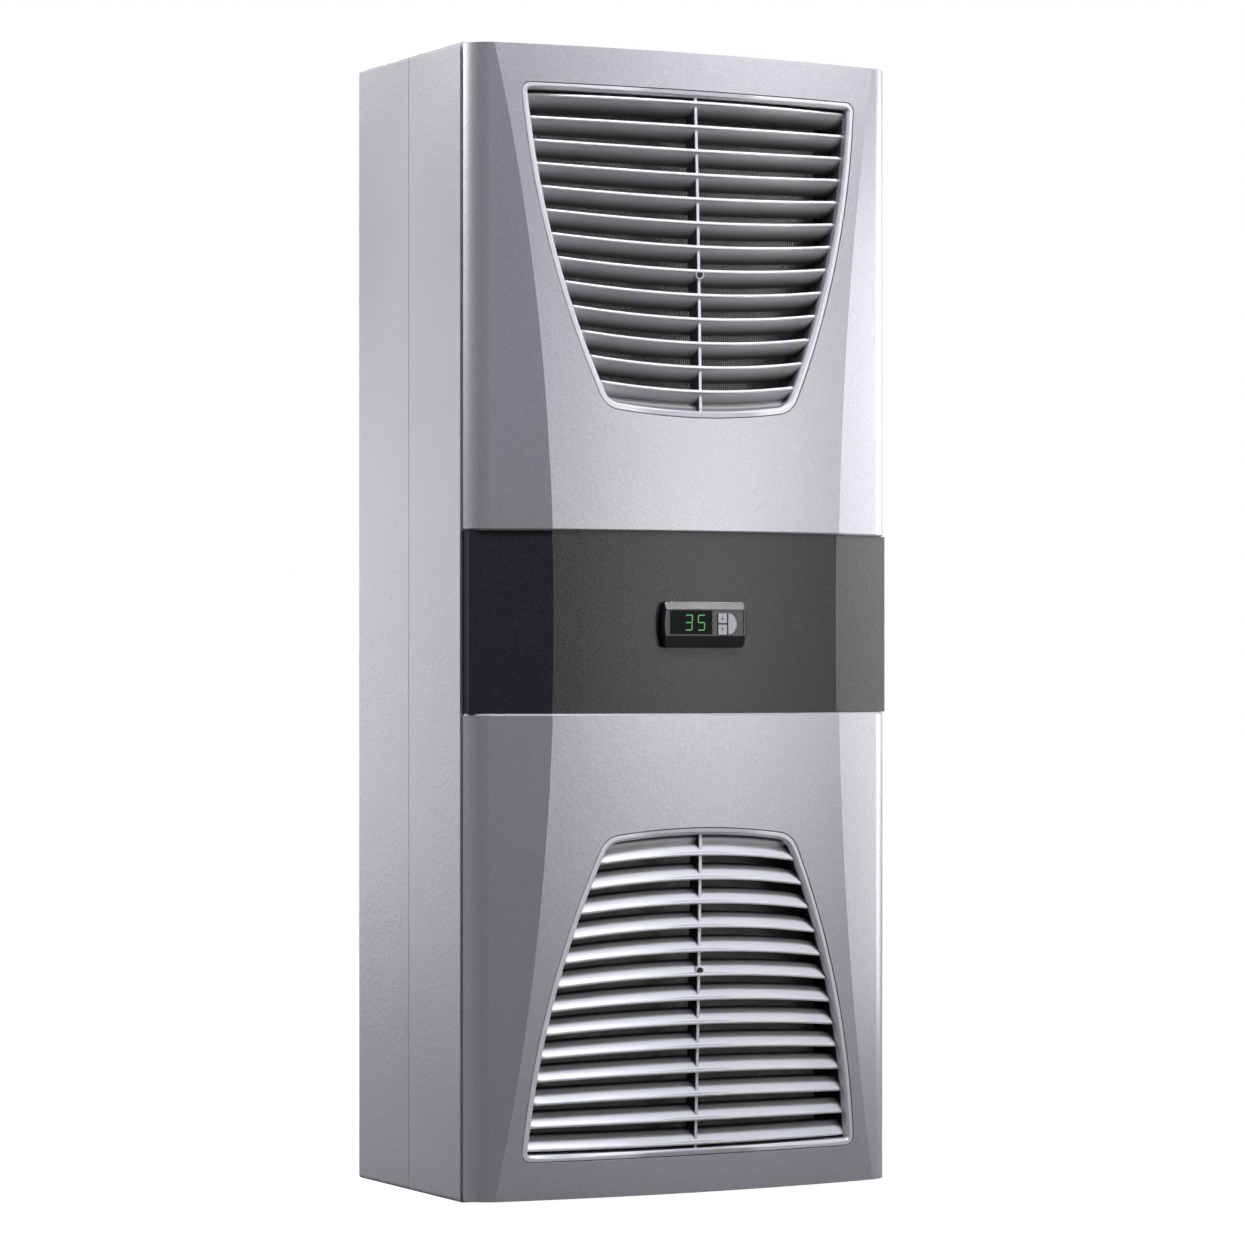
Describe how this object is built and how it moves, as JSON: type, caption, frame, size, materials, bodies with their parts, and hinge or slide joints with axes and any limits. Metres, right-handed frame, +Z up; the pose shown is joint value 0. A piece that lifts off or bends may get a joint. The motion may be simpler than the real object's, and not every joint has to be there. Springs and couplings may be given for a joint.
{
  "type": "wall-mounted enclosure cooling unit",
  "caption": "Flat upright cooling unit for an electrical enclosure, with a bowed fascia, curved louvred grilles and a dark centre band that carries a small controller.",
  "frame": {"origin": "middle of the footprint of the whole unit, at floor level", "axes": "+Z up, -Y out of the front fascia, +Y towards the enclosure wall, +X to the right seen from the front"},
  "size_m": [0.4, 0.26, 0.95],
  "materials": {
    "housing_paint": "fine-textured silver-grey powder coat",
    "fascia_paint": "fine-textured silver-grey paint on a moulding",
    "band_plastic": "dark grey fine-textured moulding",
    "grille_plastic": "silver-grey satin moulding",
    "controller_plastic": "black satin moulding",
    "display_plastic": "smoked glossy window",
    "key_plastic": "light grey rubber-like keys",
    "baffle_paint": "matt black",
    "coil_fins": "dull rolled fins",
    "galvanised_sheet": "galvanised",
    "gasket_foam": "closed-cell foam",
    "nut_steel": "zinc plated",
    "guard_wire": "bright plated wire",
    "motor_casting": "plain casting"
  },
  "bodies": {
    "unit": {"chassis_shell": "housing_paint", "cover_hood": "housing_paint", "upper_fascia": "fascia_paint", "lower_fascia": "fascia_paint", "centre_band": "band_plastic", "upper_grille": "grille_plastic", "lower_grille": "grille_plastic", "controller_housing": "controller_plastic", "display_window": "display_plastic", "air_baffle": "baffle_paint", "upper_coil_fins": "coil_fins", "upper_coil_left_plate": "galvanised_sheet", "upper_coil_right_plate": "galvanised_sheet", "lower_coil_fins": "coil_fins", "lower_coil_left_plate": "galvanised_sheet", "lower_coil_right_plate": "galvanised_sheet", "back_panel": "housing_paint", "rear_gasket": "gasket_foam", "blind_nuts": "nut_steel", "terminal_socket": "controller_plastic", "inlet_ring": "controller_plastic", "inlet_guard": "guard_wire", "fan_impeller": "controller_plastic", "fan_motor": "motor_casting", "fan_bracket": "galvanised_sheet", "evaporator_fins": "coil_fins", "evaporator_left_plate": "galvanised_sheet", "evaporator_right_plate": "galvanised_sheet"},
    "up_key": {"key_up": "key_plastic"},
    "down_key": {"key_down": "key_plastic"},
    "set_key": {"key_set": "key_plastic"}
  },
  "joints": [
    {"name": "up_key_press", "type": "slide", "parent": "unit", "child": "up_key", "axis": [0, 1, 0], "range_m": [0, 0.0008], "stiffness_N_per_m": 300},
    {"name": "down_key_press", "type": "slide", "parent": "unit", "child": "down_key", "axis": [0, 1, 0], "range_m": [0, 0.0008], "stiffness_N_per_m": 300},
    {"name": "set_key_press", "type": "slide", "parent": "unit", "child": "set_key", "axis": [0, 1, 0], "range_m": [0, 0.0008], "stiffness_N_per_m": 300}
  ]
}
